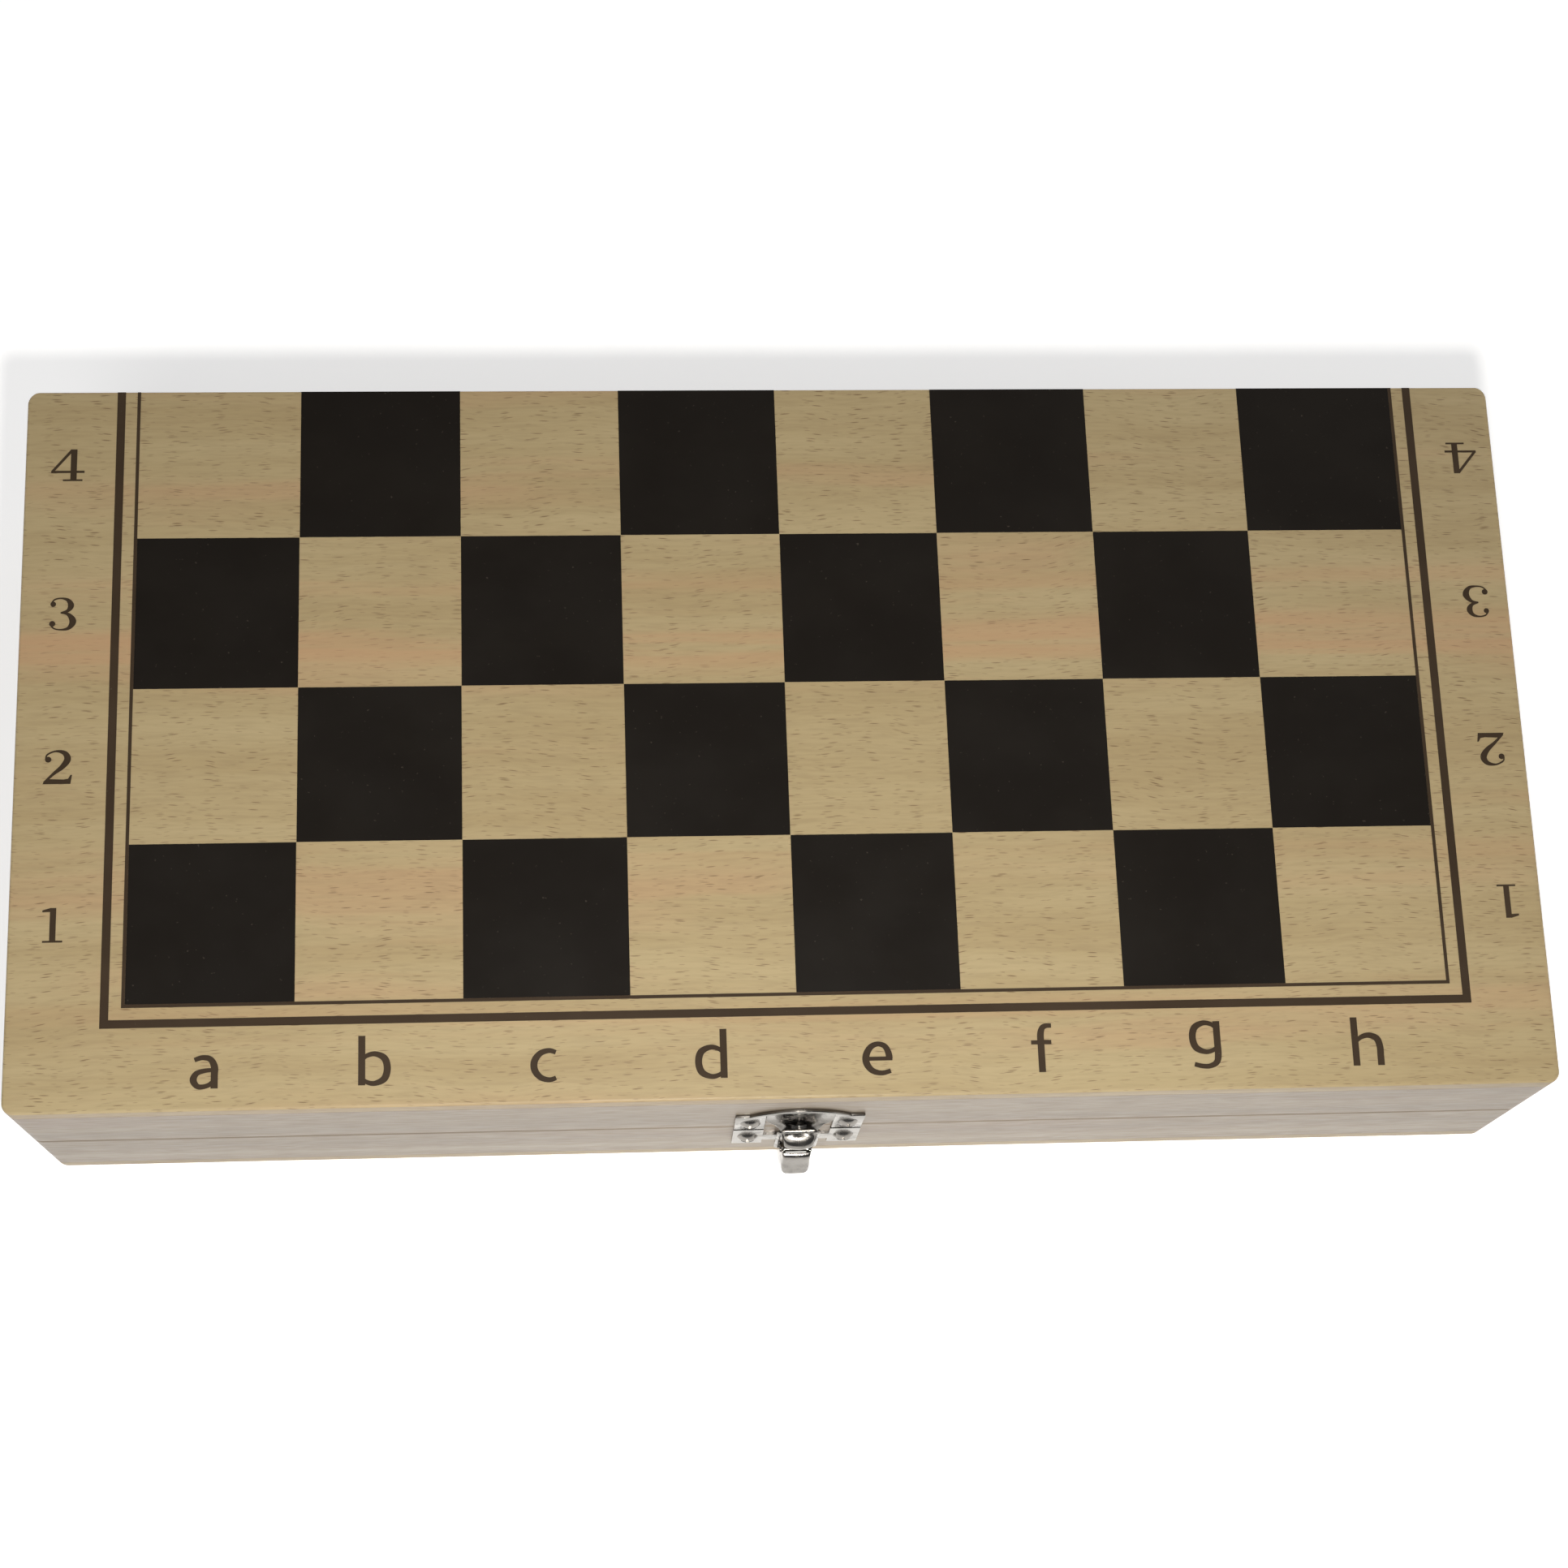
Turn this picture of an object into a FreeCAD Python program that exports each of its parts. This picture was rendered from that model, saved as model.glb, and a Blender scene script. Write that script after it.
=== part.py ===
import FreeCAD, Part
import math
import os
import string
import Sketcher

# Folding chess board that closes into a shallow box.
#
# Frame: millimetres. The origin is the centre of the closed box's bottom face.
# +X runs along the files from a to h, +Y runs towards the hinges, +Z is up.
# The latch is on the front, at -Y. The lid turns about the hinge pins at the back.

SIZES = {
    # board and box
    "square": 31.0,
    "side_margin": 21.0,
    "front_margin": 20.4,
    "half_height": 23.5,
    "panel_thickness": 3.5,
    "wall_thickness": 8.0,
    "seam_gap": 0.3,
    "corner_radius": 2.3,
    "face_round": 0.6,
    "rim_round": 0.5,
    # hinges
    "hinge_spacing": 180.0,
    "hinge_length": 24.0,
    "fold_gap": 0.15,
    "leaf_reach": 7.0,
    "leaf_thickness": 0.8,
    "barrel_radius": 1.6,
    "barrel_clearance": 0.35,
    "pin_radius": 0.8,
    "pin_clearance": 0.05,
    "knuckle_gap": 0.2,
    "hinge_screw_pitch": 15.0,
    "hinge_screw_inset": 4.6,
    # small countersunk hinge screws
    "sunk_head_radius": 1.5,
    "sunk_head_height": 0.75,
    "sunk_shank_radius": 0.75,
    "sunk_shank_length": 7.0,
    # domed latch screws
    "dome_radius": 2.1,
    "dome_height": 1.1,
    "dome_shank_radius": 0.9,
    "dome_shank_length": 7.0,
    "recess_width": 0.55,
    "sunk_recess_reach": 1.0,
    "dome_recess_reach": 1.25,
    "head_overlap": 0.1,
    "recess_depth": 0.6,
    "hole_clearance": 0.05,
    # latch
    "latch_offset": 1.7,
    "sheet": 0.6,
    "tab_outer": 12.4,
    "tab_inner": 6.5,
    "tab_round": 0.8,
    "strike_bottom": 0.4,
    "strike_shoulder": 10.4,
    "arch_half_chord": 9.7,
    "arch_rise": 4.4,
    "smile_bottom": 3.9,
    "smile_end": 6.9,
    "strike_screw_height": 5.4,
    "bill_width": 6.0,
    "bill_round": 1.2,
    "base_top": 0.9,
    "base_bottom": 12.8,
    "strip_top": 5.6,
    "strip_bottom": 9.9,
    "base_screw_depth": 6.9,
    "ear_inner": 2.05,
    "ear_thickness": 0.5,
    "ear_radius": 0.9,
    "ear_arm": 0.6,
    "lever_pin_out": 3.3,
    "lever_pin_down": 6.9,
    "lever_pin_radius": 0.5,
    "lever_half_width": 3.15,
    "lever_sheet": 0.5,
    "loop_pivot_out": 2.0,
    "loop_pivot_down": 9.4,
    "loop_bar_out": 2.2,
    "loop_bar_up": 4.6,
    "loop_half_width": 3.75,
    "wire_radius": 0.45,
    "loop_foot": 1.45,
}

# Side outlines of the latch's bent sheet: (out from the box's front, up from the seam).
OUTLINES = {
    "bill": [(0, 5.9), (1.2, 5.3), (1.7, 3.95), (2.6, 3.9), (3.6, 3.4), (4.6, 2.5),
             (5.3, 1.3), (4.7, 1.0), (3.9, 1.9), (3.0, 2.6), (1.2, 3.1), (0, 3.7)],
    "lever": [(4.25, -4.95), (4.95, -5.6), (6.95, -12.9), (6.55, -13.7), (5.7, -13.5),
              (3.2, -10.5), (1.1, -10.5), (1.1, -8.6), (2.1, -5.9)],
    "channel": [(3.75, -4.4), (4.5, -5.9), (6.35, -12.7), (5.0, -14.7), (0.5, -14.7),
                (0.5, -4.4)],
}

HINGE_SIDES = {"left": -1, "right": 1}
KNUCKLES = 5

# Two lengths closer than this are taken as the same.
TOUCH = 0.001

# Expressions shared by several pieces, written in terms of the sheet above.
WIDTH = "(8 * Sizes.square + 2 * Sizes.side_margin)"
DEPTH = "(4 * Sizes.square + Sizes.front_margin)"
HEIGHT = "(2 * Sizes.half_height)"
FRONT = f"(-{DEPTH} / 2)"
BACK = f"({DEPTH} / 2)"
HINGE_Y = f"({BACK} + Sizes.fold_gap)"
LOWER_RIM = "(Sizes.half_height - Sizes.seam_gap / 2)"
UPPER_RIM = "(Sizes.half_height + Sizes.seam_gap / 2)"

doc = FreeCAD.newDocument("folding_chess_board")
sheet = doc.addObject("Spreadsheet::Sheet", "Sizes")
for outline_name, corners in OUTLINES.items():
    for letter, (out, up) in zip(string.ascii_lowercase, corners):
        SIZES[f"{outline_name}_{letter}_out"] = out
        SIZES[f"{outline_name}_{letter}_up"] = up
for row, (alias, size) in enumerate(SIZES.items(), 1):
    sheet.set(f"A{row}", alias)
    sheet.set(f"B{row}", str(size))
    sheet.setAlias(f"B{row}", alias)
doc.recompute()

nodes = []


# ---------------------------------------------------------------- helpers

def number(expression):
    """The value of an expression in millimetres."""
    return float(sheet.evalExpression(str(expression)))


def bind(item, expressions):
    """Tie properties of a document object to the sheet."""
    for prop, expression in expressions.items():
        item.setExpression(prop, str(expression))


def place(item, x=0, y=0, z=0):
    bind(item, {"Placement.Base.x": x, "Placement.Base.y": y, "Placement.Base.z": z})


def finish_node(item, label):
    """Give a sub-part its name and put it on the list of nodes."""
    item.Label = label
    nodes.append(item)
    return item


def box(name, xs, ys, zs):
    """A block between two limits on each axis."""
    block = doc.addObject("Part::Box", name)
    for side, limits in (("Length", xs), ("Width", ys), ("Height", zs)):
        bind(block, {side: f"({limits[1]}) - ({limits[0]})"})
    place(block, xs[0], ys[0], zs[0])
    return block


def cylinder(name, radius, length, start, direction):
    """A round bar from a start point along a direction."""
    bar = doc.addObject("Part::Cylinder", name)
    bind(bar, {"Radius": radius, "Height": length})
    turn = FreeCAD.Rotation(FreeCAD.Vector(0, 0, 1), FreeCAD.Vector(*direction))
    bar.Placement = FreeCAD.Placement(FreeCAD.Vector(), turn)
    place(bar, *start)
    return bar


def fuse(name, pieces):
    union = doc.addObject("Part::MultiFuse", name)
    union.Shapes = pieces
    return union


def cut(name, base, tools):
    """The base with every tool taken out of it."""
    result = doc.addObject("Part::Cut", name)
    result.Base = base
    result.Tool = tools[0] if len(tools) == 1 else fuse(f"{name}_tools", tools)
    return result


def common(name, first, second):
    overlap = doc.addObject("Part::MultiCommon", name)
    overlap.Shapes = [first, second]
    return overlap


def compound(name, pieces):
    group = doc.addObject("Part::Compound", name)
    group.Links = pieces
    return group


def polygon_sketch(body, role, name, corners):
    """A closed outline on one of the body's own planes, each corner bound to the sheet."""
    plane = next(item for item in body.Origin.OriginFeatures if item.Role == role)
    sketch = body.newObject("Sketcher::SketchObject", name)
    sketch.AttachmentSupport = [(plane, "")]
    sketch.MapMode = "FlatFace"
    points = [FreeCAD.Vector(number(across), number(up), 0) for across, up in corners]
    count = len(points)
    for index, point in enumerate(points):
        sketch.addGeometry(Part.LineSegment(point, points[(index + 1) % count]))
    for index in range(count):
        sketch.addConstraint(Sketcher.Constraint("Coincident", index, 2, (index + 1) % count, 1))
    for index, corner in enumerate(corners):
        for kind, value, expression in zip(("DistanceX", "DistanceY"), points[index], corner):
            position = sketch.addConstraint(Sketcher.Constraint(kind, -1, 1, index, 1, value))
            bind(sketch, {f"Constraints[{position}]": expression})
    return sketch


def side_sketch(body, name):
    """One of the latch's side outlines, in the plane across the box's front."""
    corners = [(f"-Sizes.{name}_{letter}_out", f"Sizes.{name}_{letter}_up")
               for letter, _ in zip(string.ascii_lowercase, OUTLINES[name])]
    return polygon_sketch(body, "YZ_Plane", f"{name}_sketch", corners)


def rectangle(left, right, bottom, top):
    return [(left, bottom), (right, bottom), (right, top), (left, top)]


def pad(body, sketch, length, centred=False):
    feature = body.newObject("PartDesign::Pad", f"{body.Name}_pad")
    feature.Profile = sketch
    feature.Midplane = centred
    bind(feature, {"Length": length})
    doc.recompute()
    return feature


def pocket_centred(body, sketch, width):
    """Cut an outline through the body, the same distance to both sides of its plane."""
    before = body.Shape.Volume
    feature = body.newObject("PartDesign::Pocket", f"{body.Name}_pocket")
    feature.Profile = sketch
    feature.Midplane = True
    bind(feature, {"Length": width})
    doc.recompute()
    if body.Shape.Volume > before - TOUCH:
        raise RuntimeError(f"{feature.Name} cut nothing")
    return feature


def round_edges(body, radius, chosen):
    """Fillet the edges whose ends and middle all pass the test."""
    tip = body.Tip
    names = []
    for index, edge in enumerate(tip.Shape.Edges, 1):
        first, last = edge.FirstParameter, edge.LastParameter
        if all(chosen(edge.valueAt(first + share * (last - first))) for share in (0, 0.5, 1)):
            names.append(f"Edge{index}")
    if not names:
        raise RuntimeError(f"no edge to round on {body.Name}")
    feature = body.newObject("PartDesign::Fillet", f"{body.Name}_round")
    feature.Base = (tip, names)
    bind(feature, {"Radius": radius})
    doc.recompute()
    return feature


def near(value, target):
    return abs(value - target) < TOUCH


def on_box_corner(point):
    return near(abs(point.x), number(WIDTH) / 2) and near(abs(point.y), number(DEPTH) / 2)


def on_outline(point):
    """True on the box's rounded-rectangle outline, seen from above."""
    radius = number("Sizes.corner_radius")
    over_x = abs(point.x) - (number(WIDTH) / 2 - radius)
    over_y = abs(point.y) - (number(DEPTH) / 2 - radius)
    outside = math.hypot(max(over_x, 0), max(over_y, 0))
    return near(outside + min(max(over_x, over_y), 0), radius)


# ---------------------------------------------------------------- wooden box

def panel(half, bottom, outer_face):
    """Thin printed sheet that closes one half: the playing surface is its outer face."""
    body = doc.addObject("PartDesign::Body", f"{half}_panel_body")
    outline = rectangle(f"-{WIDTH} / 2", f"{WIDTH} / 2", FRONT, BACK)
    pad(body, polygon_sketch(body, "XY_Plane", f"{half}_panel_sketch", outline),
        "Sizes.panel_thickness")
    round_edges(body, "Sizes.corner_radius", on_box_corner)
    face = number(outer_face)
    round_edges(body, "Sizes.face_round", lambda p: near(p.z, face) and on_outline(p))
    place(body, z=bottom)
    finish_node(body, f"{half}_panel")


def wall_blank(half, side):
    """One wall of a half before any hardware is let into it."""
    inner_x = f"({WIDTH} / 2 - Sizes.wall_thickness)"
    inner_y = f"({DEPTH} / 2 - Sizes.wall_thickness)"
    outlines = {
        "front": rectangle(f"-{WIDTH} / 2", f"{WIDTH} / 2", FRONT, f"-{inner_y}"),
        "back": rectangle(f"-{WIDTH} / 2", f"{WIDTH} / 2", inner_y, BACK),
        "left": rectangle(f"-{WIDTH} / 2", f"-{inner_x}", f"-{inner_y}", inner_y),
        "right": rectangle(inner_x, f"{WIDTH} / 2", f"-{inner_y}", inner_y),
    }
    body = doc.addObject("PartDesign::Body", f"{half}_{side}_wall_body")
    wall_height = f"{LOWER_RIM} - Sizes.panel_thickness"
    pad(body, polygon_sketch(body, "XY_Plane", f"{half}_{side}_sketch", outlines[side]),
        wall_height)
    if side in ("front", "back"):
        round_edges(body, "Sizes.corner_radius", on_box_corner)
    rim = number(wall_height) if half == "lower" else 0
    round_edges(body, "Sizes.rim_round", lambda p: near(p.z, rim) and on_outline(p))
    place(body, z="Sizes.panel_thickness" if half == "lower" else UPPER_RIM)
    return body


def hinge_x(side):
    return f"({HINGE_SIDES[side]} * Sizes.hinge_spacing / 2)"


def hinge_screw_places(side):
    return [f"({hinge_x(side)} + {turn} * Sizes.hinge_screw_pitch / 2)" for turn in (-1, 1)]


def hinge_cutters(half):
    """Room for the leaves, barrels and screws of both hinges in one back wall."""
    rim, inward = (LOWER_RIM, -1) if half == "lower" else (UPPER_RIM, 1)
    bed = f"({rim} + {inward} * (Sizes.leaf_thickness + Sizes.hole_clearance))"
    beyond = f"({rim} - {inward} * Sizes.leaf_thickness)"
    levels = (bed, beyond) if half == "lower" else (beyond, bed)
    cutters = []
    for side in HINGE_SIDES:
        start = f"({hinge_x(side)} - Sizes.hinge_length / 2 - Sizes.knuckle_gap)"
        end = f"({hinge_x(side)} + Sizes.hinge_length / 2 + Sizes.knuckle_gap)"
        name = f"{half}_{side}_hinge"
        cutters.append(box(f"{name}_bed", (start, end),
                           (f"{HINGE_Y} - Sizes.leaf_reach - Sizes.hole_clearance",
                            f"{HINGE_Y} + Sizes.leaf_reach"), levels))
        cutters.append(cylinder(f"{name}_groove", "Sizes.barrel_radius + Sizes.barrel_clearance",
                                f"{end} - {start}", (start, HINGE_Y, "Sizes.half_height"),
                                (1, 0, 0)))
        for place_x in hinge_screw_places(side):
            cutters.append(cylinder(f"{name}_pilot",
                                    "Sizes.sunk_shank_radius + Sizes.hole_clearance",
                                    "Sizes.sunk_shank_length + Sizes.leaf_thickness",
                                    (place_x, f"{HINGE_Y} - Sizes.hinge_screw_inset", rim),
                                    (0, 0, inward)))
    return cutters


def latch_pilots(half):
    """Screw holes for the latch in one front wall."""
    height = "Sizes.strike_screw_height" if half == "upper" else "-Sizes.base_screw_depth"
    return [cylinder(f"{half}_latch_pilot", "Sizes.dome_shank_radius + Sizes.hole_clearance",
                     "Sizes.dome_shank_length",
                     (latch_screw_x(turn), FRONT, f"Sizes.half_height + {height}"), (0, 1, 0))
            for turn in (-1, 1)]


def latch_screw_x(turn):
    return f"(Sizes.latch_offset + {turn} * (Sizes.tab_outer + Sizes.tab_inner) / 2)"


def wooden_half(half):
    if half == "lower":
        panel(half, 0, 0)
    else:
        panel(half, f"{HEIGHT} - Sizes.panel_thickness", "Sizes.panel_thickness")
    for side in ("front", "back", "left", "right"):
        wall = wall_blank(half, side)
        if side == "front":
            wall = cut(f"{half}_front_cut", wall, latch_pilots(half))
        if side == "back":
            wall = cut(f"{half}_back_cut", wall, hinge_cutters(half))
        finish_node(wall, f"{half}_{side}_wall")


# ---------------------------------------------------------------- hinges

def knuckle_spans(side, half):
    """Start and end of each knuckle that belongs to one leaf. The lower leaf has the ends."""
    pitch = f"(Sizes.hinge_length / {KNUCKLES})"
    left_end = f"({hinge_x(side)} - Sizes.hinge_length / 2)"
    first = 0 if half == "lower" else 1
    return [(f"({left_end} + {index} * {pitch} + Sizes.knuckle_gap / 2)",
             f"({left_end} + {index + 1} * {pitch} - Sizes.knuckle_gap / 2)")
            for index in range(first, KNUCKLES, 2)]


def hinge_leaf(side, half):
    """Flat leaf let into the rim, with its share of the knuckles around the pin."""
    name = f"{side}_hinge_{half}_leaf"
    rim, inward = (LOWER_RIM, -1) if half == "lower" else (UPPER_RIM, 1)
    bed = f"({rim} + {inward} * Sizes.leaf_thickness)"
    levels = (bed, rim) if half == "lower" else (rim, bed)
    barrel_room = "(Sizes.barrel_radius + Sizes.barrel_clearance)"
    ends = (f"{hinge_x(side)} - Sizes.hinge_length / 2",
            f"{hinge_x(side)} + Sizes.hinge_length / 2")
    solids = [box(f"{name}_plate", ends,
                  (f"{HINGE_Y} - Sizes.leaf_reach", f"{HINGE_Y} - {barrel_room}"), levels)]
    for span in knuckle_spans(side, half):
        solids.append(box(f"{name}_web", span, (f"{HINGE_Y} - {barrel_room}", HINGE_Y), levels))
        solids.append(cylinder(f"{name}_knuckle", "Sizes.barrel_radius", f"{span[1]} - {span[0]}",
                               (span[0], HINGE_Y, "Sizes.half_height"), (1, 0, 0)))
    holes = [cylinder(f"{name}_bore", "Sizes.pin_radius + Sizes.pin_clearance",
                      "Sizes.hinge_length", (ends[0], HINGE_Y, "Sizes.half_height"), (1, 0, 0))]
    for place_x in hinge_screw_places(side):
        holes.append(countersink(f"{name}_sink", place_x, rim, -inward))
    finish_node(cut(f"{name}_cut", fuse(f"{name}_solid", solids), holes), name)


def countersink(name, place_x, rim, outward):
    """Conical hole that opens towards the rim's face."""
    cone = doc.addObject("Part::Cone", name)
    bind(cone, {"Radius1": "Sizes.sunk_shank_radius + Sizes.hole_clearance",
                "Radius2": "Sizes.sunk_head_radius + Sizes.hole_clearance",
                "Height": "Sizes.leaf_thickness"})
    turn = FreeCAD.Rotation(FreeCAD.Vector(0, 0, 1), FreeCAD.Vector(0, 0, outward))
    cone.Placement = FreeCAD.Placement(FreeCAD.Vector(), turn)
    place(cone, place_x, f"{HINGE_Y} - Sizes.hinge_screw_inset",
          f"{rim} - {outward} * Sizes.leaf_thickness")
    return cone


def hinge_pin(side):
    start = f"{hinge_x(side)} - Sizes.hinge_length / 2"
    pin = cylinder(f"{side}_hinge_pin_bar", "Sizes.pin_radius", "Sizes.hinge_length",
                   (start, HINGE_Y, "Sizes.half_height"), (1, 0, 0))
    finish_node(pin, f"{side}_hinge_pin")


def cross_recess(name, reach, top):
    """Two crossed slots for a screwdriver, cut down from the top of a head."""
    half_width = "Sizes.recess_width / 2"
    levels = (f"{top} - Sizes.recess_depth", f"{top} + Sizes.recess_depth")
    along = (f"-{reach}", reach)
    across = (f"-{half_width}", half_width)
    return [box(f"{name}_slot", along, across, levels), box(f"{name}_slot", across, along, levels)]


def sunk_screw():
    """Countersunk wood screw. Its head's flat face is at z = 0 and it points down."""
    head = doc.addObject("Part::Cone", "sunk_screw_head")
    bind(head, {"Radius1": "Sizes.sunk_shank_radius", "Radius2": "Sizes.sunk_head_radius",
                "Height": "Sizes.sunk_head_height"})
    place(head, z="-Sizes.sunk_head_height")
    shank = cylinder("sunk_screw_shank", "Sizes.sunk_shank_radius", "Sizes.sunk_shank_length",
                     (0, 0, 0), (0, 0, -1))
    solid = fuse("sunk_screw_solid", [head, shank])
    recess = cross_recess("sunk_screw", "Sizes.sunk_recess_reach", "0")
    return cut("sunk_screw", solid, recess)


def dome_screw():
    """Domed wood screw. Its head stands on z = 0 and its shank points down."""
    ball_radius = "((Sizes.dome_radius ^ 2 + Sizes.dome_height ^ 2) / (2 * Sizes.dome_height))"
    head = doc.addObject("Part::Sphere", "dome_screw_head")
    bind(head, {"Radius": ball_radius,
                "Angle1": f"asin(({ball_radius} - Sizes.dome_height) / {ball_radius})"})
    place(head, z=f"Sizes.dome_height - {ball_radius}")
    shank = cylinder("dome_screw_shank", "Sizes.dome_shank_radius", "Sizes.dome_shank_length",
                     (0, 0, "Sizes.head_overlap"), (0, 0, -1))
    solid = fuse("dome_screw_solid", [head, shank])
    recess = cross_recess("dome_screw", "Sizes.dome_recess_reach", "Sizes.dome_height")
    return cut("dome_screw", solid, recess)


def screw_copies(name, screw, spots, outward):
    """The same screw at several spots, all with their heads facing one way."""
    copies = []
    for spot in spots:
        copy = doc.addObject("App::Link", f"{name}_copy")
        copy.LinkedObject = screw
        turn = FreeCAD.Rotation(FreeCAD.Vector(0, 0, 1), FreeCAD.Vector(*outward))
        copy.Placement = FreeCAD.Placement(FreeCAD.Vector(), turn)
        place(copy, *spot)
        copies.append(copy)
    finish_node(compound(f"{name}_group", copies), name)


def hinges():
    screw = sunk_screw()
    for side in HINGE_SIDES:
        for half in ("lower", "upper"):
            hinge_leaf(side, half)
        hinge_pin(side)
    for half, rim, outward in (("lower", LOWER_RIM, 1), ("upper", UPPER_RIM, -1)):
        spots = [(place_x, f"{HINGE_Y} - Sizes.hinge_screw_inset", rim)
                 for side in HINGE_SIDES for place_x in hinge_screw_places(side)]
        screw_copies(f"{half}_hinge_screws", screw, spots, (0, 0, outward))


# ---------------------------------------------------------------- latch
#
# The latch's own frame: x across, y = 0 on the box's front face with -y outwards,
# z = 0 at the seam. Each piece is built there and then moved to the box.

def to_latch(item):
    place(item, "Sizes.latch_offset", FRONT, "Sizes.half_height")


def latch_holes(name, height):
    return [cylinder(f"{name}_hole", "Sizes.dome_shank_radius + Sizes.hole_clearance",
                     "2 * Sizes.sheet",
                     (f"{turn} * (Sizes.tab_outer + Sizes.tab_inner) / 2", "Sizes.sheet / 2",
                      height), (0, -1, 0))
            for turn in (-1, 1)]


def flat_plate(name, outline):
    """Sheet metal lying on the box's front face."""
    body = doc.addObject("PartDesign::Body", f"{name}_body")
    pad(body, polygon_sketch(body, "XZ_Plane", f"{name}_sketch", outline), "Sizes.sheet")
    return body


def strike_plate():
    """Plate on the lid: two screw tabs, an arched middle and the bill that the loop pulls on."""
    tabs = [flat_plate(f"strike_tab_{word}", rectangle(f"{left}", f"{right}",
                                                      "Sizes.strike_bottom",
                                                      "Sizes.strike_shoulder"))
            for word, left, right in (("left", "-Sizes.tab_outer", "-Sizes.tab_inner"),
                                      ("right", "Sizes.tab_inner", "Sizes.tab_outer"))]
    arch_radius = "((Sizes.arch_half_chord ^ 2 + Sizes.arch_rise ^ 2) / (2 * Sizes.arch_rise))"
    smile_drop = "(Sizes.smile_end - Sizes.smile_bottom)"
    smile_radius = f"((Sizes.tab_inner ^ 2 + {smile_drop} ^ 2) / (2 * {smile_drop}))"
    arch_top = "(Sizes.strike_shoulder + Sizes.arch_rise)"
    arch = cylinder("strike_arch", arch_radius, "Sizes.sheet",
                    (0, 0, f"{arch_top} - {arch_radius}"), (0, -1, 0))
    smile = cylinder("strike_smile", smile_radius, "Sizes.sheet",
                     (0, 0, f"Sizes.smile_bottom + {smile_radius}"), (0, -1, 0))
    shoulders = box("strike_shoulders", ("-Sizes.arch_half_chord", "Sizes.arch_half_chord"),
                    ("-Sizes.sheet", 0), ("Sizes.smile_end", arch_top))
    middle = common("strike_middle", arch, fuse("strike_middle_parts", [smile, shoulders]))
    plate = cut("strike_flat", fuse("strike_flat_solid", tabs + [middle]),
                latch_holes("strike", "Sizes.strike_screw_height"))
    finish_node(fuse("strike_plate_solid", [plate, bill()]), "strike_plate")
    to_latch(nodes[-1])


def bill():
    """Duck-bill hook: a valley for the loop's bar, then a nose that slopes out and down."""
    body = doc.addObject("PartDesign::Body", "bill_body")
    pad(body, side_sketch(body, "bill"), "Sizes.bill_width", centred=True)
    side = number("Sizes.bill_width") / 2
    tip_top = number("Sizes.bill_g_up") + TOUCH
    tip_back = number("-Sizes.bill_h_out") + TOUCH
    round_edges(body, "Sizes.bill_round",
                lambda p: near(abs(p.x), side) and p.y < tip_back and p.z < tip_top)
    return body


def base_plate():
    """Plate on the lower half: two screw tabs, a strip between them and two ears."""
    tab_levels = ("-Sizes.base_bottom", "-Sizes.base_top")
    tabs = [flat_plate(f"base_tab_{word}", rectangle(left, right, *tab_levels))
            for word, left, right in (("left", "-Sizes.tab_outer", "-Sizes.tab_inner"),
                                      ("right", "Sizes.tab_inner", "Sizes.tab_outer"))]
    strip = flat_plate("base_strip", rectangle("-Sizes.tab_inner", "Sizes.tab_inner",
                                               "-Sizes.strip_bottom", "-Sizes.strip_top"))
    solids = tabs + [strip]
    pin_level = "-Sizes.lever_pin_down"
    for turn in (-1, 1):
        near_side = f"({turn} * Sizes.ear_inner)"
        far_side = f"({turn} * (Sizes.ear_inner + Sizes.ear_thickness))"
        across = (far_side, near_side) if turn < 0 else (near_side, far_side)
        solids.append(box("base_ear_arm", across, ("-Sizes.lever_pin_out", "-Sizes.sheet / 2"),
                          (f"{pin_level} - Sizes.ear_arm", f"{pin_level} + Sizes.ear_arm")))
        solids.append(cylinder("base_ear_end", "Sizes.ear_radius", "Sizes.ear_thickness",
                               (across[0], "-Sizes.lever_pin_out", pin_level), (1, 0, 0)))
    holes = latch_holes("base", "-Sizes.base_screw_depth")
    holes.append(cylinder("base_pin_bore", "Sizes.lever_pin_radius + Sizes.pin_clearance",
                          "2 * Sizes.lever_half_width",
                          ("-Sizes.lever_half_width", "-Sizes.lever_pin_out", pin_level),
                          (1, 0, 0)))
    finish_node(cut("base_plate_cut", fuse("base_plate_solid", solids), holes),
                "latch_base_plate")
    to_latch(nodes[-1])


def lever_pin():
    half_length = "(Sizes.lever_half_width + Sizes.hole_clearance)"
    pin = cylinder("lever_pin_bar", "Sizes.lever_pin_radius", f"2 * {half_length}",
                   (f"Sizes.latch_offset - {half_length}", f"{FRONT} - Sizes.lever_pin_out",
                    "Sizes.half_height - Sizes.lever_pin_down"), (1, 0, 0))
    finish_node(pin, "lever_pin")


def lever():
    """Bent-sheet lever: two cheeks on the pin and a face that slopes out to the finger end."""
    body = doc.addObject("PartDesign::Body", "lever_body")
    pad(body, side_sketch(body, "lever"), "2 * Sizes.lever_half_width", centred=True)
    pocket_centred(body, side_sketch(body, "channel"),
                   "2 * (Sizes.lever_half_width - Sizes.lever_sheet)")
    bores = [cylinder(f"lever_bore_{word}", radius, "3 * Sizes.lever_half_width",
                      ("-1.5 * Sizes.lever_half_width", f"-{out}", f"-{down}"), (1, 0, 0))
             for word, radius, out, down in (
                 ("pin", "Sizes.lever_pin_radius + Sizes.pin_clearance",
                  "Sizes.lever_pin_out", "Sizes.lever_pin_down"),
                 ("loop", "Sizes.wire_radius + Sizes.pin_clearance",
                  "Sizes.loop_pivot_out", "Sizes.loop_pivot_down"))]
    finish_node(cut("lever_cut", body, bores), "latch_lever")
    to_latch(nodes[-1])


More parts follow.
